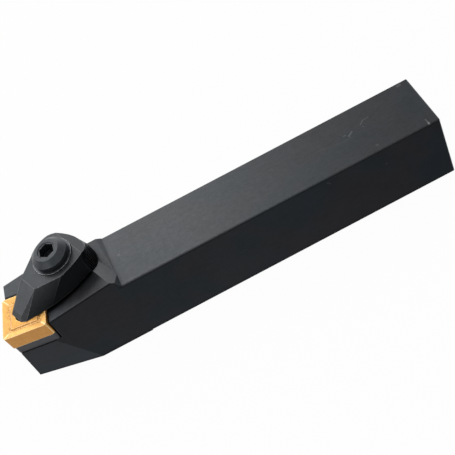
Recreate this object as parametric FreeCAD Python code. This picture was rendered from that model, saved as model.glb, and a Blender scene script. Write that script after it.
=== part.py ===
import FreeCAD, Part
import math
import os

from FreeCAD import Vector

# Turning tool holder for a square indexable insert, right hand, with a screw-down clamp.
# Frame: +X runs along the shank towards the cutting tip, +Y is the cutting side, +Z is up.
# The origin is on the base face, in the shank's middle plane, half way along the tool.
# Lengths are in millimetres and angles in degrees.

# Shank
shank_height = 20.0
shank_width = 20.0
tool_length = 127.0
edge_break = 0.25

# Cutting tip and how the seat is tilted under it
tip_offset = 17.5
tip_height = 20.0
approach_angle = 75.0
side_edge_tilt = 6.0
end_edge_tilt = 6.0

# Square insert, the same on both faces
insert_size = 12.7
insert_thickness = 4.76
insert_hole = 5.16
insert_corner = 0.8
land_width = 0.2
groove_width = 2.4
groove_depth = 0.34
groove_bank = 0.45
groove_flat = 0.1
groove_mouth_corner = 0.6
groove_floor_corner = 0.2

# Shim under the insert
shim_thickness = 3.18
shim_inset = 0.25
shim_corner = 0.9
shim_hole = 4.4

# Screw that holds the shim
shim_screw_size = 4.0
shim_screw_length = 10.5
shim_screw_head = 6.4
shim_screw_recess = 0.25
shim_screw_socket = 2.5
shim_screw_socket_depth = 1.6
countersink_angle = 90.0
thread_clearance = 0.05
tap_extra_depth = 1.5

# Flanks of the head, and the walls of the seat
side_relief_angle = 9.0
front_plan = 10.0
front_inset = 0.8
wall_relief_length = 3.3
wall_relief_depth = 0.45
corner_relief = 1.3
corner_relief_shift = 0.2

# Top of the head: a flat beside the insert, a bank behind it and a low floor behind that
head_top_drop = 0.9
ridge_back = 4.23
bank_angle = 45.0
floor_height = 0.75
floor_tilt = 2.7
head_length = 33.9
rear_slope = 58.0
rear_slope_far = 28.0

# Clamp screw axis, square to the insert's top: how far it stands back from the tip along
# the side cutting edge, in from that edge, and how high the clamp's flat top is on it
clamp_back = 18.5
clamp_in = 16.1
clamp_rise = 5.22
clamp_turn = 35.8

# Clamp outline: distances to the nose and to the cutting side from the screw axis,
# first at the flat top and then at the level of the insert's top
nose_top = (9.4, 3.2)
nose_near_low = (18.4, 3.25)
nose_far_low = (18.4, -2.35)
near_shoulder_top = (2.6, 7.1)
near_shoulder_low = (9.6, 7.0)
near_middle_top = (-0.7, 7.3)
near_middle_low = (3.4, 8.5)
near_rear_top = (-4.2, 7.1)
near_rear_low = (-3.9, 8.6)
heel_near_top = (-7.1, 5.5)
heel_near_low = (-7.0, 5.2)
heel_top = (-7.65, 1.6)
heel_low = (-9.0, 1.2)
heel_far_top = (-6.9, -3.3)
heel_far_low = (-7.0, -3.6)
far_rear_top = (-3.6, -6.9)
far_rear_low = (-3.6, -5.8)
far_middle_top = (0.3, -7.2)
far_middle_low = (3.0, -7.6)
far_shoulder_top = (3.5, -5.9)
far_shoulder_low = (9.6, -6.0)

# Clamp facets, each given by distance from the screw axis and drop from the flat top,
# and the cheeks beside them, given by points at the level of the insert's top
nose_break = (15.35, 3.19)
nose_end = (17.83, 5.16)
cheek_ridge_low = (19.1, 0.8)
near_cheek_low = (16.9, 3.9)
far_cheek_low = (16.6, -3.1)
nose_tip_radius = 6.6
nose_tip_reach = 18.25
nose_tip_shift = 0.5
heel_facet_start = 5.5
heel_facet_angle = 31.0
heel_notches = 10
heel_notch_width = 0.7
heel_notch_drop = 2.2

# Clamp underside
clamp_gap = 0.05
heel_gap = 0.3
heel_depth = 6.0
stud_diameter = 4.2
stud_depth = 1.6
stud_gap = 0.25
stud_chamfer = 0.3

# Clamp screw, washer and spring
screw_size = 6.0
screw_length = 18.0
screw_head = 10.0
screw_head_side = 1.7
screw_head_height = 3.2
screw_crown = 7.0
screw_socket = 4.0
screw_socket_depth = 2.9
socket_chamfer = 0.3
screw_clearance_hole = 6.6
washer_outside = 11.3
washer_hole = 6.3
washer_thickness = 1.0
washer_proud = 0.3
washer_fit = 0.15
spring_wire = 0.7
spring_outside = 8.1
spring_turns = 5
spring_turn_steps = 16
spring_wire_sides = 8
spring_flat_gap = 0.1
spring_room = 0.25
spring_end_gap = 0.05
spring_seat_depth = 3.2
spring_ceiling = 3.0

# Longer than anything here, for cutting planes and through holes
reach = 80.0
# How far pieces of one solid run into each other before they are joined or cut
overlap = 1.0
# Shorter than any edge here, for picking edges and for cuts that stand just clear of a face
hair = 0.01
hexagon_sides = 6


def unit(vector):
    length = vector.Length
    return Vector(vector.x / length, vector.y / length, vector.z / length)


def frame_at(origin, first, up):
    """Placement whose X axis follows first as nearly as it can and whose Z axis is up."""
    z_axis = unit(up)
    x_axis = unit(first - z_axis * first.dot(z_axis))
    y_axis = z_axis.cross(x_axis)
    return FreeCAD.Placement(origin, FreeCAD.Rotation(x_axis, y_axis, z_axis, "ZXY"))


def placed(shape, placement):
    moved = shape.copy()
    moved.transformShape(placement.toMatrix(), True)
    return moved


def block(x_range, y_range, z_range):
    size = [pair[1] - pair[0] for pair in (x_range, y_range, z_range)]
    return Part.makeBox(*size, Vector(x_range[0], y_range[0], z_range[0]))


def keep_below(shape, point, normal):
    """Cuts off what lies on the normal's side of the plane through point."""
    side = Vector(0, 0, 1).cross(normal)
    if side.Length < hair:
        side = Vector(1, 0, 0)
    slab = block((-reach, reach), (-reach, reach), (0, reach))
    return shape.cut(placed(slab, frame_at(point, side, normal)))


def rod(diameter, low, high, x=0.0, y=0.0):
    return Part.makeCylinder(diameter / 2, high - low, Vector(x, y, low), Vector(0, 0, 1))


def taper(low_diameter, high_diameter, low, high):
    return Part.makeCone(low_diameter / 2, high_diameter / 2, high - low, Vector(0, 0, low), Vector(0, 0, 1))


def across_corners(across_flats):
    return across_flats / math.cos(math.pi / hexagon_sides)


def hexagon_hole(across_flats, low, high):
    corner = across_corners(across_flats) / 2
    angles = [math.tau * step / hexagon_sides for step in range(hexagon_sides + 1)]
    points = [Vector(corner * math.cos(a), corner * math.sin(a), low) for a in angles]
    return Part.Face(Part.makePolygon(points)).extrude(Vector(0, 0, high - low))


def rounded_square(side, radius, level, centre):
    """Closed outline of a square with arcs at its corners, at one level."""
    half = side / 2
    flat = half - radius
    slant = radius * math.sqrt(0.5)
    edges = []
    for quarter in range(4):
        turn = FreeCAD.Rotation(Vector(0, 0, 1), 90 * quarter)
        local = [
            Vector(half, -flat, 0), Vector(half, flat, 0),
            Vector(flat + slant, flat + slant, 0), Vector(flat, half, 0),
        ]
        here = [centre + turn.multVec(p) + Vector(0, 0, level) for p in local]
        edges.append(Part.LineSegment(here[0], here[1]).toShape())
        edges.append(Part.Arc(here[1], here[2], here[3]).toShape())
    return Part.Wire(edges)


def tapered_square(low_side, low_radius, low, high_side, high_radius, high, centre):
    low_outline = rounded_square(low_side, low_radius, low, centre)
    high_outline = rounded_square(high_side, high_radius, high, centre)
    return Part.makeLoft([low_outline, high_outline], True, True)


# Seat frame: X back along the side cutting edge, Y away from the head along the end edge,
# Z square to the insert's top. Its origin is the sharp corner of the cutting tip.
tip = Vector(tool_length / 2, tip_offset - shank_width / 2, tip_height)
side_plan = math.radians(90.0 - approach_angle)
edge_back = Vector(-math.cos(side_plan), math.sin(side_plan), 0)
edge_in = Vector(-math.sin(side_plan), -math.cos(side_plan), 0)
lift_side = FreeCAD.Rotation(edge_back.cross(Vector(0, 0, 1)), side_edge_tilt)
lift_end = FreeCAD.Rotation(edge_in.cross(Vector(0, 0, 1)), end_edge_tilt)
seat_turn = lift_end.multiply(lift_side)
seat_back = seat_turn.multVec(edge_back)
seat_up = seat_turn.multVec(Vector(0, 0, 1))
seat = frame_at(tip, seat_back, seat_up)
seat_in_sign = 1.0 if seat.Rotation.multVec(Vector(0, 1, 0)).dot(edge_in) > 0 else -1.0
shim_top = -insert_thickness
seat_floor = shim_top - shim_thickness
insert_middle = Vector(insert_size / 2, seat_in_sign * insert_size / 2, 0)


def in_seat(shape):
    return placed(shape, seat)


def seat_block(back_range, in_range, z_range):
    """Block in the seat frame, measured back and inwards from the cutting tip."""
    y_range = sorted(seat_in_sign * value for value in in_range)
    return in_seat(block(back_range, y_range, z_range))


# Clamp frame: its origin is where the screw axis meets the clamp's flat top,
# X points to the nose, Y to the cutting side and Z up along the screw.
turn = math.radians(clamp_turn)
clamp_top = seat.multVec(Vector(clamp_back, seat_in_sign * clamp_in, clamp_rise))
to_nose = seat.Rotation.multVec(Vector(-math.cos(turn), -seat_in_sign * math.sin(turn), 0))
arm = frame_at(clamp_top, to_nose, seat_up)


def in_arm(shape):
    return placed(shape, arm)


# The planes that the head and the clamp share
head_top_point = seat.multVec(Vector(0, 0, -head_top_drop))
ridge_level = -clamp_rise - head_top_drop
bank = math.radians(bank_angle)
bank_start = Vector(-ridge_back, 0, ridge_level)
bank_across = Vector(-math.sin(bank), 0, math.cos(bank))
bank_point = arm.multVec(bank_start)
bank_normal = arm.Rotation.multVec(bank_across)
floor_point = Vector(0, -shank_width / 2, shank_height + floor_height)
floor_normal = Vector(0, math.sin(math.radians(floor_tilt)), math.cos(math.radians(floor_tilt)))
rear_step_x = tool_length / 2 - head_length


def rear_facet(shape, angle):
    """Cuts the slope behind the head, down to the shank's top."""
    slope = math.radians(angle)
    step = Vector(rear_step_x, 0, shank_height)
    return keep_below(shape, step, Vector(-math.sin(slope), 0, math.cos(slope)))


def make_head():
    half = shank_width / 2
    body = block((rear_step_x - overlap, reach), (-half, half), (0, reach))
    # side that leans in under the side cutting edge, and upright front
    under = math.radians(side_relief_angle)
    corner = seat.multVec(Vector(0, 0, seat_floor))
    body = keep_below(body, corner, edge_in * -math.cos(under) - Vector(0, 0, math.sin(under)))
    plan = math.radians(front_plan)
    forward = Vector(math.cos(plan), -math.sin(plan), 0)
    body = keep_below(body, corner - forward * front_inset, forward)
    body = rear_facet(keep_below(body, head_top_point, seat_up), rear_slope)
    low = rear_facet(keep_below(body, floor_point, floor_normal), rear_slope_far)
    return keep_below(body, bank_point, bank_normal).fuse(low)


def make_holder_body():
    rear = -tool_length / 2
    half = shank_width / 2
    shank = block((rear, rear_step_x + overlap), (-half, half), (0, shank_height))
    long_edges = [e for e in shank.Edges if abs(e.tangentAt(e.FirstParameter).x) > 1 - hair]
    rear_edges = [e for e in shank.Edges if max(v.X for v in e.Vertexes) < rear + hair]
    shank = shank.makeChamfer(edge_break, long_edges + rear_edges)
    body = shank.fuse(make_head()).removeSplitter()
    # seat for the shim and the insert, with its walls eased at the corners
    far = insert_size + wall_relief_depth
    pocket = seat_block((-reach, insert_size), (-reach, insert_size), (seat_floor, reach))
    pocket = pocket.fuse(seat_block((-reach, far), (-reach, wall_relief_length), (seat_floor, reach)))
    pocket = pocket.fuse(seat_block((-reach, wall_relief_length), (-reach, far), (seat_floor, reach)))
    corner = insert_size - corner_relief_shift
    inner = rod(corner_relief * 2, seat_floor, reach, corner, seat_in_sign * corner)
    body = body.cut(pocket.fuse(in_seat(inner)))
    # tapped hole for the shim's screw
    screw_low = shim_top - shim_screw_recess - shim_screw_length
    tap = rod(shim_screw_size + 2 * thread_clearance, screw_low - tap_extra_depth, seat_floor + overlap)
    tap.translate(insert_middle)
    body = body.cut(in_seat(tap))
    # tapped hole for the clamp screw, with the spring's seat above it
    screw_low = washer_proud - screw_length
    hole = rod(screw_size + 2 * thread_clearance, screw_low - tap_extra_depth, 0)
    room = rod(spring_outside + 2 * spring_room, ridge_level - spring_seat_depth, 0)
    return body.cut(in_arm(hole.fuse(room))).removeSplitter()


def chip_groove(level, direction):
    """Groove round one face of the insert: a long slope down from the land and a short bank up."""
    floor_level = level - direction * groove_depth
    mouth = insert_size - 2 * land_width
    floor_side = mouth - 2 * (groove_width - groove_bank - groove_flat)
    pad_low = floor_side - 2 * groove_flat
    pad_high = mouth - 2 * groove_width
    above = level + direction * hair
    trough = tapered_square(floor_side, groove_floor_corner, floor_level,
                            mouth, groove_mouth_corner, above, insert_middle)
    pad = tapered_square(pad_low, groove_floor_corner, floor_level,
                         pad_high, groove_floor_corner, above, insert_middle)
    return trough.cut(pad)


def make_insert():
    outline = rounded_square(insert_size, insert_corner, -insert_thickness, insert_middle)
    body = Part.Face(outline).extrude(Vector(0, 0, insert_thickness))
    body = body.cut(chip_groove(0.0, 1))
    body = body.cut(chip_groove(-insert_thickness, -1))
    hole = rod(insert_hole, -reach, reach)
    hole.translate(insert_middle)
    return in_seat(body.cut(hole))


def screw_cone(gap):
    """Countersunk head, down to the thread, in a frame whose origin is the head's top."""
    spread = math.tan(math.radians(countersink_angle / 2))
    deep = (shim_screw_head - shim_screw_size) / 2 / spread
    return taper(shim_screw_size + 2 * gap, shim_screw_head + 2 * gap, -deep, 0)


def make_shim():
    size = insert_size - shim_inset
    centre = Vector(shim_inset + size / 2, seat_in_sign * (shim_inset + size / 2), 0)
    outline = rounded_square(size, shim_corner, seat_floor, centre)
    body = Part.Face(outline).extrude(Vector(0, 0, shim_thickness))
    head_top = shim_top - shim_screw_recess
    sink = screw_cone(thread_clearance)
    sink = sink.fuse(rod(shim_screw_head + 2 * thread_clearance, 0, reach))
    sink = sink.fuse(rod(shim_hole, -reach, 0))
    sink.translate(insert_middle + Vector(0, 0, head_top))
    return in_seat(body.cut(sink))


def make_shim_screw():
    head_top = shim_top - shim_screw_recess
    body = screw_cone(0.0).fuse(rod(shim_screw_size, -shim_screw_length, -overlap))
    body = body.cut(hexagon_hole(shim_screw_socket, -shim_screw_socket_depth, overlap))
    body.translate(insert_middle + Vector(0, 0, head_top))
    return in_seat(body.removeSplitter())


def clamp_outline(level, nose, near, near_rear, heel, far_rear, far):
    """Outline of the clamp at one level; near, heel and far hold the points of its arcs."""
    nose_near, nose_far = [Vector(u, v, level) for u, v in nose]
    shoulder, middle = [Vector(u, v, level) for u, v in near]
    heel_near, heel_mid, heel_far = [Vector(u, v, level) for u, v in heel]
    far_shoulder, far_middle = [Vector(u, v, level) for u, v in far]
    near_end = Vector(near_rear[0], near_rear[1], level)
    far_end = Vector(far_rear[0], far_rear[1], level)
    edges = [
        Part.LineSegment(nose_far, nose_near),
        Part.LineSegment(nose_near, shoulder),
        Part.Arc(shoulder, middle, near_end),
        Part.Arc(near_end, heel_near, heel_mid),
        Part.Arc(heel_mid, heel_far, far_end),
        Part.Arc(far_end, far_middle, far_shoulder),
        Part.LineSegment(far_shoulder, nose_far),
    ]
    return Part.Wire([edge.toShape() for edge in edges])


def arm_facet(shape, start, end):
    """Cuts a facet across the nose through two points, each with its drop from the flat top."""
    normal = Vector(end[1] - start[1], 0, end[0] - start[0])
    return keep_below(shape, Vector(start[0], 0, -start[1]), normal)


def cheek(shape, side, flank_low):
    """Cuts the small facet between the nose's front and its flank, on one side."""
    corner = Vector(nose_top[0], side * nose_top[1], 0)
    ridge_low = Vector(cheek_ridge_low[0], side * cheek_ridge_low[1], -clamp_rise)
    flank = Vector(flank_low[0], flank_low[1], -clamp_rise)
    return keep_below(shape, corner, (ridge_low - corner).cross(flank - corner) * side)


def heel_serration():
    """Row of small upright notches round the back of the heel, on the cutting side."""
    half = heel_notch_width / 2
    corners = [Vector(half, 0, 0), Vector(0, half, 0), Vector(-half, 0, 0), Vector(0, -half, 0)]
    notch = Part.Face(Part.makePolygon(corners + corners[:1])).extrude(Vector(0, 0, -reach))
    ends = [Vector(u, v, -heel_notch_drop) for u, v in (near_rear_low, heel_near_low, heel_low)]
    places = Part.Arc(*ends).toShape().discretize(heel_notches + 2)[1:-1]
    return [placed(notch, frame_at(place, place, Vector(0, 0, 1))) for place in places]


def make_clamp():
    top = clamp_outline(0.0, (nose_top, (nose_top[0], -nose_top[1])),
                        (near_shoulder_top, near_middle_top), near_rear_top,
                        (heel_near_top, heel_top, heel_far_top), far_rear_top,
                        (far_shoulder_top, far_middle_top))
    low = clamp_outline(-clamp_rise, (nose_near_low, nose_far_low),
                        (near_shoulder_low, near_middle_low), near_rear_low,
                        (heel_near_low, heel_low, heel_far_low), far_rear_low,
                        (far_shoulder_low, far_middle_low))
    body = Part.makeLoft([low, top], True, True)
    body = body.fuse(Part.Face(low).extrude(Vector(0, 0, -heel_depth)))
    body = arm_facet(body, (nose_top[0], 0), nose_break)
    body = arm_facet(body, nose_break, nose_end)
    body = cheek(body, 1, near_cheek_low)
    body = cheek(body, -1, far_cheek_low)
    facet = math.radians(heel_facet_angle)
    body = keep_below(body, Vector(-heel_facet_start, 0, 0), Vector(-math.sin(facet), 0, math.cos(facet)))
    # rounded end of the nose
    wide = (-reach, reach)
    nose_centre = nose_tip_reach - nose_tip_radius
    round_end = rod(nose_tip_radius * 2, -reach, reach, nose_centre, nose_tip_shift)
    body = body.common(round_end.fuse(block((-reach, nose_centre), wide, wide)))
    body = body.cut(heel_serration())
    # flat underside that bears on the insert, and a heel that bears on the bank
    under = block(wide, wide, (-reach, -clamp_rise + clamp_gap))
    body = in_arm(body.cut(keep_below(under, bank_start + bank_across * clamp_gap, bank_across)))
    behind = in_arm(block((-reach, 0), wide, wide))
    body = body.cut(keep_below(behind, floor_point + floor_normal * heel_gap, floor_normal))
    # stud that reaches into the insert's hole
    back = seat.Rotation.inverted().multVec(arm.Rotation.multVec(Vector(-1, 0, 0)))
    set_back = (insert_hole - stud_diameter) / 2 - stud_gap
    stud = rod(stud_diameter, -stud_depth, clamp_gap)
    stud = stud.makeChamfer(stud_chamfer, [e for e in stud.Edges if e.BoundBox.ZMax < -stud_depth + hair])
    stud.translate(insert_middle + back * set_back)
    body = body.fuse(in_seat(stud))
    # holes for the screw, its washer and the spring
    bores = rod(screw_clearance_hole, -reach, reach)
    bores = bores.fuse(rod(washer_outside + 2 * washer_fit, washer_proud - washer_thickness, reach))
    bores = bores.fuse(rod(spring_outside + 2 * spring_room, -reach, -spring_ceiling))
    return body.cut(in_arm(bores)).removeSplitter()


def make_washer():
    body = rod(washer_outside, washer_proud - washer_thickness, washer_proud)
    return in_arm(body.cut(rod(washer_hole, -reach, reach)))


def make_clamp_screw():
    side_top = washer_proud + screw_head_side
    crown = washer_proud + screw_head_height
    body = rod(screw_head, washer_proud, side_top).fuse(taper(screw_head, screw_crown, side_top, crown))
    body = body.fuse(rod(screw_size, washer_proud - screw_length, washer_proud + overlap))
    body = body.cut(hexagon_hole(screw_socket, crown - screw_socket_depth, crown + overlap))
    corner = across_corners(screw_socket)
    mouth = taper(corner, corner + 2 * socket_chamfer, crown - socket_chamfer, crown)
    return in_arm(body.cut(mouth).removeSplitter())


def wire_outline(angle, level):
    """Outline of the spring's wire, where the coil has turned this far and stands at this level."""
    outwards = Vector(math.cos(angle), math.sin(angle), 0)
    centre = outwards * ((spring_outside - spring_wire) / 2) + Vector(0, 0, level)
    points = []
    for step in range(spring_wire_sides + 1):
        around = math.tau * step / spring_wire_sides
        across = outwards * math.cos(around) + Vector(0, 0, math.sin(around))
        points.append(centre + across * (spring_wire / 2))
    return Part.makePolygon(points)


def make_clamp_spring():
    """Coil of short straight lengths of wire, with a flat turn at each end."""
    low = ridge_level - spring_seat_depth + spring_end_gap + spring_wire / 2
    high = -spring_ceiling - spring_end_gap - spring_wire / 2
    flat_climb = spring_wire + spring_flat_gap
    open_turns = spring_turns - 2
    open_climb = (high - low - 2 * flat_climb) / open_turns
    outlines = [wire_outline(0, low)]
    level = low
    for climb in [flat_climb] + [open_climb] * open_turns + [flat_climb]:
        for step in range(1, spring_turn_steps + 1):
            share = step / spring_turn_steps
            outlines.append(wire_outline(math.tau * share, level + climb * share))
        level += climb
    return in_arm(Part.makeLoft(outlines, True, True))


parts = {
    "holder_body": make_holder_body,
    "shim": make_shim,
    "shim_screw": make_shim_screw,
    "insert": make_insert,
    "clamp": make_clamp,
    "clamp_washer": make_washer,
    "clamp_screw": make_clamp_screw,
    "clamp_spring": make_clamp_spring,
}

os.makedirs("parts", exist_ok=True)
for name, make in parts.items():
    shape = make()
    shape.exportStep("parts/" + name + ".step")
    print(name, len(shape.Solids), "solid", round(shape.Volume, 1), "mm3", shape.isValid())
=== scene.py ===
import math
from functools import cached_property

import bpy
from mathutils import Matrix, Quaternion, Vector

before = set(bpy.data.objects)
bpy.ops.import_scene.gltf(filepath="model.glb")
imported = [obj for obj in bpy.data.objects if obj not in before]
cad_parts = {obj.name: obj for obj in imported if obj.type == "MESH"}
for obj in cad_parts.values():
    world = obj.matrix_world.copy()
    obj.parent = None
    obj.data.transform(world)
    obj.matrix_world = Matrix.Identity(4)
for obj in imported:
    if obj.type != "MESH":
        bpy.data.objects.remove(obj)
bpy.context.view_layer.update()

# Masks, marks and noises are in millimetres on the model, lamps and floor in metres
MM = 0.001
UP = Vector((0.0, 0.0, 1.0))

# The seat: its turn in plan and its tilt, the same both ways
SEAT_TURN = math.radians(15.0)
SEAT_TILT = math.radians(6.0)

# The insert: half its side, its groove's distance from the middle, and the head's flat below its top
HALF_INSERT = 12.7 / 2
GROOVE_RING = 4.05
HEAD_DROP = 0.9

# The shank's top, and where the head begins, on top and on the side
SHANK_TOP = 20.0
HEAD_START_TOP = 29.2
HEAD_START_SIDE = 31.0

# Camera that was fitted to the photo, with its focal length in the photo's pixels
CAMERA_PLACE = Vector((7.192, 251.878, 254.680)) * MM
CAMERA_AIM = Vector((-1.906, -1.274, 10.0)) * MM
CAMERA_ROLL = math.radians(26.318)
FOCAL_LENGTH = 1303.37
PHOTO_SIDE = 455.0
SENSOR_WIDTH = 36.0

# The world's brightness for lighting, and the floor: colour, share of white, half its side and drop
WORLD_LEVEL = 0.45
FLOOR_GREY = 0.60
FLOOR_WHITE = 0.97
FLOOR_HALF = 3.0
FLOOR_GAP = 0.0002

# Lamps: name, place, aim, size and watts
LAMPS = [
    ("overhead", (0.05, 0.08, 0.75), (0.02, 0.0, 0.0), (0.6, 0.6), 1.15),
    ("back_low", (-0.15, -0.75, 0.22), (0.02, 0.0, 0.02), (1.4, 0.4), 1.7),
    ("back_softbox", (0.22, -0.33, 0.33), (0.03, 0.0, 0.02), (0.56, 0.36), 1.3),
    ("side_softbox", (0.50, -0.26, 0.26), (0.05, 0.02, 0.02), (0.35, 0.35), 0.55),
    ("front_fill", (0.36, 0.22, 0.28), (0.04, 0.0, 0.01), (0.26, 0.26), 0.28),
]

# Tones of the oxide, of painted shade in deep corners, on the clamp's flanks and in thin shadow lines,
# and the tints that drift over it
OXIDE_DARK = (0.0065, 0.0076, 0.0092)
OXIDE_LIGHT = (0.0120, 0.0134, 0.0160)
CLAMP_DARK = (0.0050, 0.0058, 0.0066)
CLAMP_LIGHT = (0.0100, 0.0108, 0.0124)
CLAMP_FLANK_SHADE = tuple(0.45 * value for value in CLAMP_DARK)
CORNER_SHADE_TONE = (0.002, 0.002, 0.0025)
SHADOW_LINE_TONE = (0.0015, 0.0010, 0.0010)
COLD_TINT = (0.84, 1.01, 1.08)
WARM_TINT = (1.13, 0.99, 0.93)

# Gloss of the holder: where the shank's gloss grows from and to, and its two ends on top and side; the
# low gloss to the back and on the sides is partly a duller finish and partly painted shade
GLOSS_GROWS = (-60.0, 5.0)
TOP_GLOSS = (0.37, 0.77)
SIDE_GLOSS = (0.04, 0.17)
HEAD_GLOSS = 0.62

# Tones of the insert's coating, with painted highlights on its border and painted shade in its corners
GOLD_DARK = (0.41, 0.172, 0.024)
GOLD_LIGHT = (0.76, 0.400, 0.084)
GOLD_SLOPE_HIGHLIGHT = (0.84, 0.515, 0.180)
GOLD_RIDGE_HIGHLIGHT = (1.0, 0.83, 0.52)
GOLD_STAIN = (0.36, 0.150, 0.020)
GOLD_WALL = (0.48, 0.208, 0.035)
GOLD_WORN = (1.0, 0.80, 0.48)
GOLD_CORNER_SHADE = (0.045, 0.014, 0.005)

# Directions in which milling lines run, as stretch factors of their noise
LINES_ALONG = (0.08, 1.0, 1.0)
LINES_NONE = (1.0, 1.0, 1.0)
LINES_UPRIGHT = (1.0, 1.0, 0.12)
LINES_TURNED = (1.0, 1.0, 0.2)

# Scratches on the shank: start, end, width and how bright
SHANK_MARKS = [
    ((-45.8, -2.1, 20), (-47.0, -3.2, 20), 0.30, 0.26),
    ((-47.0, -3.2, 20), (-48.7, -3.4, 20), 0.26, 0.22),
    ((-45.9, -1.3, 20), (-46.3, -0.6, 20), 0.22, 0.20),
    ((-41.4, -0.2, 20), (-42.8, -1.2, 20), 0.34, 0.36),
    ((-40.3, -1.0, 20), (-40.8, -1.1, 20), 0.32, 0.26),
    ((-32.5, -0.5, 20), (-36.0, 0.3, 20), 0.22, 0.06),
    ((-36.5, 0.4, 20), (-39.5, 0.9, 20), 0.20, 0.08),
    ((-39.5, 0.9, 20), (-41.7, 0.5, 20), 0.22, 0.12),
    ((-60.4, 7.7, 20), (-60.5, 9.2, 20), 0.22, 0.45),
    ((-60.5, 9.3, 20), (-60.5, 9.8, 20), 0.38, 1.00),
    ((-46.1, 7.8, 20), (-46.3, 7.8, 20), 0.40, 0.25),
    ((-60.3, -8.8, 20), (-60.9, -8.9, 20), 0.70, 0.30),
    ((-29.9, 10, 18.3), (-30.6, 10, 17.6), 0.30, 0.12),
    ((-46.2, 10, 14.6), (-46.6, 10, 14.4), 0.30, 0.10),
    ((27.0, -1.0, 20), (27.2, -0.9, 20), 0.55, 0.22),
]
MARK_BRIGHTNESS = 0.75


# Directions and places on the seat
def seat_axes():
    """Directions on the seat: back from the tip, in from the end edge, and up."""
    back = Vector((-math.cos(SEAT_TURN), math.sin(SEAT_TURN), 0.0))
    inwards = Vector((-math.sin(SEAT_TURN), -math.cos(SEAT_TURN), 0.0))
    tilt = Quaternion(inwards.cross(UP), SEAT_TILT) @ Quaternion(back.cross(UP), SEAT_TILT)
    back = tilt @ back
    inwards = tilt @ inwards
    return back, inwards, back.cross(inwards)


def top_middle(node, back, inwards, up):
    """Middle of a node's top face, measured along the seat's axes."""
    points = [vertex.co / MM for vertex in node.data.vertices]
    middle = Vector()
    for axis in (back, inwards):
        reach = [point.dot(axis) for point in points]
        middle += axis * (min(reach) + max(reach)) / 2
    return middle + up * max(point.dot(up) for point in points)


SEAT_BACK, SEAT_IN, SEAT_UP = seat_axes()
INSERT_TOP = top_middle(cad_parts["insert"], SEAT_BACK, SEAT_IN, SEAT_UP)


# Node helpers
class Nodes:
    """Adds nodes to one node tree and joins them."""

    def __init__(self, tree):
        self.tree = tree

    def feed(self, socket, value):
        """Give a socket another node's output, or a plain number, colour or vector."""
        if isinstance(value, bpy.types.NodeSocket):
            self.tree.links.new(value, socket)
        elif socket.type == "RGBA":
            socket.default_value = (*value, 1.0)
        else:
            socket.default_value = value

    def node(self, kind, inputs, **settings):
        made = self.tree.nodes.new("ShaderNode" + kind)
        for key, value in settings.items():
            setattr(made, key, value)
        for key, value in inputs.items():
            self.feed(made.inputs[key], value)
        return made.outputs

    def calculate(self, operation, a, b=0.0):
        return self.node("Math", {0: a, 1: b}, operation=operation)[0]

    def plus(self, a, b):
        return self.calculate("ADD", a, b)

    def minus(self, a, b):
        return self.calculate("SUBTRACT", a, b)

    def times(self, a, b):
        return self.calculate("MULTIPLY", a, b)

    def most(self, a, b):
        return self.calculate("MAXIMUM", a, b)

    def size(self, a):
        return self.calculate("ABSOLUTE", a)

    def blend(self, share, a, b):
        """The first number where the share is 0, the second where it is 1."""
        return self.plus(a, self.times(self.minus(b, a), share))

    def band(self, value, low, high, out_low=0.0, out_high=1.0):
        """Goes from one number to another while the value goes from low to high."""
        limits = {"From Min": low, "From Max": high, "To Min": out_low, "To Max": out_high}
        return self.node("MapRange", {"Value": value, **limits}, clamp=True)["Result"]

    def swing(self, noise, amount, reach=0.2):
        """A noise turned into a swing of this amount round zero."""
        return self.band(noise, 0.5 - reach, 0.5 + reach, -amount, amount)

    def fade(self, mask, left):
        """1 outside the mask, and what is left inside it."""
        return self.band(mask, 0.0, 1.0, 1.0, left)

    def mix(self, factor, a, b, blend="MIX"):
        return self.node("Mix", {0: factor, 6: a, 7: b}, data_type="RGBA", blend_type=blend)[2]

    def dot(self, a, b):
        return self.node("VectorMath", {0: a, 1: b}, operation="DOT_PRODUCT")["Value"]

    def seen_white(self):
        """1 for rays that see the background: from the camera, in a reflection or through glass."""
        path = self.node("LightPath", {})
        either = self.most(path["Is Camera Ray"], path["Is Glossy Ray"])
        return self.most(either, path["Is Transmission Ray"])


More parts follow.
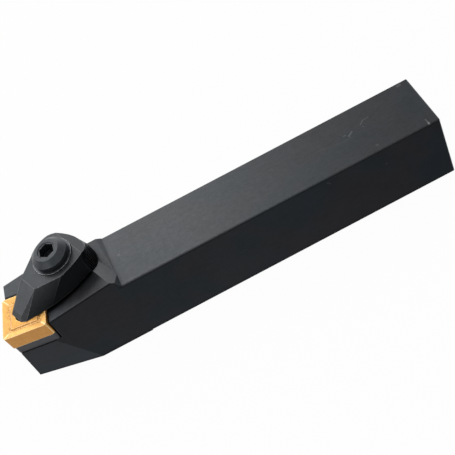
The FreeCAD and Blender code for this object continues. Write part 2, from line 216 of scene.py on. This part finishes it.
class Look(Nodes):
    """A material with masks that are measured in millimetres on the model, as built."""

    def __init__(self, name):
        self.material = bpy.data.materials.new(name)
        self.material.use_nodes = True
        super().__init__(self.material.node_tree)
        self.shader = self.tree.nodes["Principled BSDF"]

    def set(self, **values):
        """Give the shader's inputs their values: Base_Color stands for Base Color."""
        for name, value in values.items():
            self.feed(self.shader.inputs[name.replace("_", " ")], value)

    @cached_property
    def where(self):
        return self.node("TexCoord", {})

    @cached_property
    def place(self):
        return self.node("VectorMath", {0: self.where["Object"], "Scale": 1 / MM}, operation="SCALE")[0]

    @cached_property
    def split(self):
        """The place along, across and above the shank, as X, Y and Z."""
        return self.node("SeparateXYZ", {0: self.place})

    def stretched(self, factors, turn=(0.0, 0.0, 0.0)):
        return self.node("Mapping", {"Vector": self.place, "Scale": factors, "Rotation": turn})[0]

    def noise(self, scale, detail, roughness, distortion=0.0, place=None):
        settings = {"Scale": scale, "Detail": detail, "Roughness": roughness, "Distortion": distortion}
        return self.node("TexNoise", {"Vector": place or self.place, **settings})["Fac"]

    def offset(self, middle, axis):
        """How far a point lies from the middle along one axis."""
        away = self.node("VectorMath", {0: self.place, 1: middle}, operation="SUBTRACT")[0]
        return self.dot(away, axis)

    def rounded(self, radius, samples=4):
        """Normals that round the edges off."""
        return self.node("Bevel", {"Radius": radius * MM}, samples=samples)[0]

    def edge(self, radius):
        """How close a point is to an edge: 0 on a flat face, 1 on the edge itself."""
        flat = self.node("NewGeometry", {})["Normal"]
        return self.band(self.dot(self.rounded(radius, 6), flat), 0.9995, 0.975)

    def crevice(self, reach):
        """How deep a point lies in a corner: 0 in the open, 1 shut in."""
        open_share = self.node("AmbientOcclusion", {"Distance": reach * MM}, samples=6)["AO"]
        return self.band(open_share, 0.85, 0.35)

    def facing(self, axis, low, high, out_low=0.0, out_high=1.0):
        """How far a face looks along the axis, turned into a mask between two limits."""
        return self.band(self.dot(self.where["Normal"], axis), low, high, out_low, out_high)

    def flank(self, axis):
        """1 on walls that stand along the axis, 0 on faces that look along it."""
        return self.facing(axis, 0.70, 0.45)

    def bumps(self, height, depth, strength, normal):
        inputs = {"Height": height, "Distance": depth * MM, "Strength": strength, "Normal": normal}
        return self.node("Bump", inputs)[0]

    def stroke(self, start, end, width):
        """1 along a short scratch between two points, 0 a little way off it."""
        start, end = Vector(start), Vector(end)
        along = (end - start).normalized()
        away = self.node("VectorMath", {0: self.place, 1: start}, operation="SUBTRACT")[0]
        held = self.calculate("MINIMUM", self.most(self.dot(away, along), 0.0), (end - start).length)
        nearest = self.node("VectorMath", {0: along, "Scale": held}, operation="SCALE")[0]
        distance = self.node("VectorMath", {0: away, 1: nearest}, operation="DISTANCE")["Value"]
        return self.band(distance, 0.85 * width, 0.50 * width)


# Dark metal, on six of the pieces
class DarkMetal(Look):
    """Black oxide or bare carbide: grain, milling lines, scuffs, painted shade in corners, bright worn
    edges.
    """

    def __init__(self, name, dark, light, lines=LINES_NONE, corner_shade=0.55, reach=1.2):
        super().__init__(name)
        self.cloud = self.noise(0.16, 4.0, 0.6)
        self.speckle = self.noise(2.4, 3.0, 0.7)
        self.grain = self.noise(6.0, 4.0, 0.65)
        self.lines = self.noise(3.0, 3.0, 0.6, place=self.stretched(lines))
        self.shut = self.crevice(reach)
        self.base = self.tone(dark, light)
        # painted shade in corners and hollows, where ambient occlusion finds them, with less gloss there
        # too
        self.darken(self.times(self.shut, corner_shade), CORNER_SHADE_TONE)
        self.shine = self.glints()
        self.dull(self.shut, 0.2)

    def tone(self, dark, light):
        """The surface's own colour: cloudy, grainy, and warmer in some places than in others."""
        swings = self.plus(self.swing(self.cloud, 0.22), self.swing(self.grain, 0.24, 0.25))
        swings = self.plus(swings, self.swing(self.lines, 0.16))
        base = self.mix(self.plus(swings, 0.5), dark, light)
        warm = self.band(self.noise(0.05, 2.0, 0.5, 0.5), 0.42, 0.58)
        return self.mix(1.0, base, self.mix(warm, COLD_TINT, WARM_TINT), "MULTIPLY")

    def glints(self):
        """The gloss, as a swing round 1."""
        patches = self.noise(0.7, 4.0, 0.65, 0.3)
        swings = self.plus(self.swing(self.speckle, 0.20, 0.25), self.swing(patches, 0.12))
        return self.plus(self.plus(swings, self.swing(self.lines, 0.06)), 1.0)

    def darken(self, mask, tone):
        self.base = self.mix(mask, self.base, tone)

    def dull(self, mask, left):
        self.shine = self.times(self.shine, self.fade(mask, left))

    def wear_edges(self, radius, amount):
        """Chipped bright edges, and scuffs on the faces."""
        chips = self.band(self.noise(2.2, 4.0, 0.7), 0.36, 0.66, 0.1, 1.0)
        edges = self.times(self.times(self.edge(radius), chips), amount)
        scuff = self.noise(1.1, 5.0, 0.75, place=self.stretched((0.30, 1.5, 1.5), (0.4, 0.2, 0.5)))
        self.wear = self.most(edges, self.band(scuff, 0.69, 0.78, 0.0, 0.22))

    def scratch(self, marks):
        for start, end, width, brightness in marks:
            stroke = self.times(self.stroke(start, end, width), MARK_BRIGHTNESS * brightness)
            self.wear = self.most(self.wear, stroke)

    def finish(self, gloss, worn, roughness=0.40, grain_depth=0.014, bevel=0.12):
        """Joins what was gathered to the shader.

        The gloss varies through the share of bare dark metal, which reflects next to nothing.
        """
        rough = self.plus(self.swing(self.cloud, 0.05), roughness)
        rough = self.plus(rough, self.band(self.grain, 0.25, 0.75, -0.05, 0.06))
        height = self.plus(self.times(self.grain, 0.6), self.times(self.lines, 0.6))
        height = self.plus(height, self.speckle)
        self.set(
            Base_Color=self.mix(self.wear, self.base, worn),
            Roughness=self.plus(rough, self.times(self.wear, 0.1)),
            Metallic=self.fade(self.times(self.shine, gloss), 0.0),
            Specular_IOR_Level=0.6,
            Specular_Tint=(0.93, 0.96, 1.0),
            Normal=self.bumps(height, grain_depth, 0.6, self.rounded(bevel)),
        )
        return self.material


def holder_gloss_and_shade(look):
    """Glossy head, and a shank that is duller to the back, on its sides and where it looks down, partly
    as a duller finish and partly as painted shade that darkens these parts.
    """
    along = look.split["X"]
    on_top = look.band(along, *GLOSS_GROWS, *TOP_GLOSS)
    in_head = look.band(along, HEAD_START_TOP - 0.4, HEAD_START_TOP + 0.4)
    on_top = look.blend(in_head, on_top, HEAD_GLOSS)
    on_side = look.band(along, *GLOSS_GROWS, *SIDE_GLOSS)
    on_side = look.times(on_side, look.facing(UP, -0.12, -0.02, 0.2, 1.0))
    return look.blend(look.flank(UP), on_top, on_side)


def shade_line_under_edge(look):
    """1 in a thin line on the sides, just under the edge of the shank's and the head's top, where shade
    is painted.
    """
    on_shank = look.minus(look.split["Z"], SHANK_TOP)
    on_head = look.plus(look.offset(INSERT_TOP, SEAT_UP), HEAD_DROP)
    in_head = look.band(look.split["X"], HEAD_START_SIDE - 0.5, HEAD_START_SIDE + 0.5)
    level = look.blend(in_head, on_shank, on_head)
    line = look.times(look.band(level, -0.75, -0.50), look.band(level, -0.10, -0.25))
    return look.times(line, look.flank(UP))


def shadow_line_beside_insert(look):
    """1 in a thin line on the head's flat, along the far side of the insert, where a shadow is painted.
    """
    inwards = look.offset(INSERT_TOP, SEAT_IN)
    starts = look.band(inwards, HALF_INSERT - 0.05, HALF_INSERT + 0.05)
    stops = look.band(inwards, HALF_INSERT + 1.50, HALF_INSERT + 1.25)
    sideways = look.size(look.offset(INSERT_TOP, SEAT_BACK))
    near = look.band(sideways, HALF_INSERT + 0.55, HALF_INSERT + 0.25)
    return look.times(look.times(starts, stops), near)


def holder_steel():
    look = DarkMetal("holder_black_oxide", OXIDE_DARK, OXIDE_LIGHT, LINES_ALONG, corner_shade=0.9, reach=2.6)
    # painted shade: a darker, less glossy thin line under the top edge
    under = shade_line_under_edge(look)
    look.darken(look.times(under, 0.6), CORNER_SHADE_TONE)
    look.dull(under, 0.35)
    # painted shadow: a dark, less glossy thin line beside the insert
    shadow_beside = shadow_line_beside_insert(look)
    look.darken(shadow_beside, SHADOW_LINE_TONE)
    look.dull(shadow_beside, 0.15)
    look.wear_edges(0.22, 0.24)
    look.scratch(SHANK_MARKS)
    return look.finish(holder_gloss_and_shade(look), (0.16, 0.16, 0.165), bevel=0.25)


def clamp_steel():
    look = DarkMetal("clamp_black_oxide", CLAMP_DARK, CLAMP_LIGHT, LINES_UPRIGHT, corner_shade=0.85, reach=1.8)
    # painted shade on the clamp's flanks: a darker tone, less gloss and fewer worn edges
    flank = look.flank(SEAT_UP)
    look.darken(flank, CLAMP_FLANK_SHADE)
    look.dull(flank, 0.13)
    look.wear_edges(0.20, 0.75)
    look.wear = look.times(look.wear, look.fade(flank, 0.25))
    return look.finish(0.60, (0.30, 0.30, 0.305), roughness=0.38, grain_depth=0.02)


def washer_steel():
    look = DarkMetal("washer_worn", (0.03, 0.03, 0.032), (0.06, 0.06, 0.063), corner_shade=0.4)
    look.wear_edges(0.20, 1.0)
    return look.finish(0.70, (0.50, 0.50, 0.50), roughness=0.30)


def clamp_screw_steel():
    look = DarkMetal("screw_black", OXIDE_DARK, OXIDE_LIGHT, LINES_TURNED)
    look.wear_edges(0.18, 0.45)
    return look.finish(0.68, (0.20, 0.20, 0.205), roughness=0.38)


def shim_screw_steel():
    look = DarkMetal("shim_screw_black", OXIDE_DARK, OXIDE_LIGHT, LINES_ALONG)
    look.wear_edges(0.15, 0.4)
    return look.finish(0.56, (0.2, 0.2, 0.2))


def shim_carbide():
    look = DarkMetal("shim_carbide", (0.024, 0.025, 0.030), (0.040, 0.041, 0.047))
    look.wear_edges(0.15, 0.35)
    return look.finish(0.56, (0.14, 0.14, 0.15), roughness=0.45)


# Gold, on the insert
def insert_gold():
    """Coated carbide: warm gold with pressed grain, a stained groove, pale worn edges, painted
    highlights on its border's slopes and diagonals and painted shade in its corners.
    """
    look = Look("insert_gold_coating")
    grain = look.noise(7.0, 4.0, 0.7)
    mottle = look.noise(1.1, 5.0, 0.65, 0.4)
    blots = look.noise(2.3, 4.0, 0.7, 0.8)
    tone = look.plus(look.swing(grain, 0.20, 0.25), look.swing(mottle, 0.30))
    base = look.mix(look.plus(tone, 0.5), GOLD_DARK, GOLD_LIGHT)
    # distance from the middle, measured square to the sides, and from the nearest diagonal
    lengthways = look.size(look.offset(INSERT_TOP, SEAT_BACK))
    sideways = look.size(look.offset(INSERT_TOP, SEAT_IN))
    ring = look.most(lengthways, sideways)
    diagonal = look.band(look.size(look.minus(lengthways, sideways)), 0.34, 0.06)
    # painted highlights on the slope and diagonals of the top's border
    on_top = look.band(ring, HALF_INSERT - 0.07, HALF_INSERT - 0.25)
    slope = look.times(look.band(ring, GROOVE_RING + 0.15, GROOVE_RING + 0.65), on_top)
    base = look.mix(look.times(slope, 0.28), base, GOLD_SLOPE_HIGHLIGHT)
    base = look.mix(look.times(look.times(diagonal, slope), 0.6), base, GOLD_RIDGE_HIGHLIGHT)
    # stained bank of the groove
    wander = look.plus(ring, look.swing(mottle, 0.7))
    bank = look.band(look.size(look.minus(wander, GROOVE_RING)), 0.75, 0.15)
    stain = look.times(look.times(bank, look.band(blots, 0.42, 0.54)), on_top)
    base = look.mix(look.times(stain, 0.9), base, GOLD_STAIN)
    # side walls, pale edges and painted shade in the corners
    wall = look.band(ring, HALF_INSERT - 0.07, HALF_INSERT - 0.01)
    base = look.mix(look.times(wall, look.band(blots, 0.3, 0.7, 0.35, 0.85)), base, GOLD_WALL)
    edge = look.times(look.edge(0.16), look.band(mottle, 0.3, 0.6, 0.45, 1.0))
    base = look.mix(edge, base, GOLD_WORN)
    shut = look.band(look.crevice(1.4), 0.30, 0.90, 0.0, 0.9)
    height = look.plus(look.plus(grain, mottle), look.times(stain, -0.8))
    look.set(
        Base_Color=look.mix(shut, base, GOLD_CORNER_SHADE),
        Roughness=look.band(grain, 0.2, 0.8, 0.36, 0.50),
        Metallic=0.5,
        Normal=look.bumps(height, 0.03, 0.7, look.rounded(0.16)),
    )
    return look.material


# Bright wire, on the spring
def spring_wire():
    look = Look("spring_wire")
    lines = look.noise(6.0, 3.0, 0.6)
    look.set(
        Base_Color=look.mix(look.band(lines, 0.3, 0.7), (0.28, 0.28, 0.285), (0.42, 0.42, 0.43)),
        Roughness=look.band(lines, 0.3, 0.7, 0.28, 0.4),
        Metallic=0.9,
    )
    return look.material


# Materials on the nodes
LOOKS = {
    "holder_body": holder_steel,
    "shim": shim_carbide,
    "shim_screw": shim_screw_steel,
    "insert": insert_gold,
    "clamp": clamp_steel,
    "clamp_washer": washer_steel,
    "clamp_screw": clamp_screw_steel,
    "clamp_spring": spring_wire,
}


def dress_nodes():
    for name, make_material in LOOKS.items():
        material = make_material()
        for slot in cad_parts[name].material_slots:
            slot.material = material


# Floor, world, lamps and camera
def floor_material():
    """Pale floor: it is near white where it is seen, and it still takes the shadow."""
    look = Look("pale_floor")
    look.set(Base_Color=(FLOOR_GREY, FLOOR_GREY, FLOOR_GREY), Roughness=0.9, Specular_IOR_Level=0.1)
    glow = look.node("Emission", {"Color": (1.0, 1.0, 1.0), "Strength": 1.0})[0]
    share = look.times(look.seen_white(), FLOOR_WHITE)
    mixed = look.node("MixShader", {0: share, 1: look.shader.outputs[0], 2: glow})[0]
    look.feed(look.tree.nodes["Material Output"].inputs["Surface"], mixed)
    return look.material


def add_floor():
    corners = [(-FLOOR_HALF, -FLOOR_HALF, 0), (FLOOR_HALF, -FLOOR_HALF, 0),
               (FLOOR_HALF, FLOOR_HALF, 0), (-FLOOR_HALF, FLOOR_HALF, 0)]
    mesh = bpy.data.meshes.new("floor")
    mesh.from_pydata(corners, [], [(0, 1, 2, 3)])
    mesh.materials.append(floor_material())
    floor = bpy.data.objects.new("floor", mesh)
    floor.location.z = -FLOOR_GAP
    bpy.context.scene.collection.objects.link(floor)


def set_world():
    """A white world where it is seen, and a plain level of light elsewhere."""
    world = bpy.data.worlds.new("studio")
    bpy.context.scene.world = world
    world.use_nodes = True
    nodes = Nodes(world.node_tree)
    background = world.node_tree.nodes["Background"]
    nodes.feed(background.inputs["Color"], (1.0, 1.0, 1.0))
    nodes.feed(background.inputs["Strength"], nodes.band(nodes.seen_white(), 0.0, 1.0, WORLD_LEVEL, 1.0))


def add_lamp(name, place, aim, size, watts):
    data = bpy.data.lights.new(name, "AREA")
    data.shape = "RECTANGLE"
    data.size, data.size_y = size
    data.energy = watts
    lamp = bpy.data.objects.new(name, data)
    lamp.location = place
    lamp.rotation_euler = (Vector(aim) - Vector(place)).to_track_quat("-Z", "Y").to_euler()
    bpy.context.scene.collection.objects.link(lamp)


def add_camera():
    data = bpy.data.cameras.new("camera")
    data.sensor_width = SENSOR_WIDTH
    data.sensor_fit = "HORIZONTAL"
    data.lens = SENSOR_WIDTH * FOCAL_LENGTH / PHOTO_SIDE
    data.clip_start = 0.01
    camera = bpy.data.objects.new("camera", data)
    sight = CAMERA_AIM - CAMERA_PLACE
    turned = Quaternion(sight, CAMERA_ROLL) @ sight.to_track_quat("-Z", "Y")
    camera.matrix_world = Matrix.LocRotScale(CAMERA_PLACE, turned, None)
    bpy.context.scene.collection.objects.link(camera)
    bpy.context.scene.camera = camera


dress_nodes()
add_floor()
set_world()
for lamp_row in LAMPS:
    add_lamp(*lamp_row)
add_camera()
bpy.context.scene.view_settings.view_transform = "Standard"
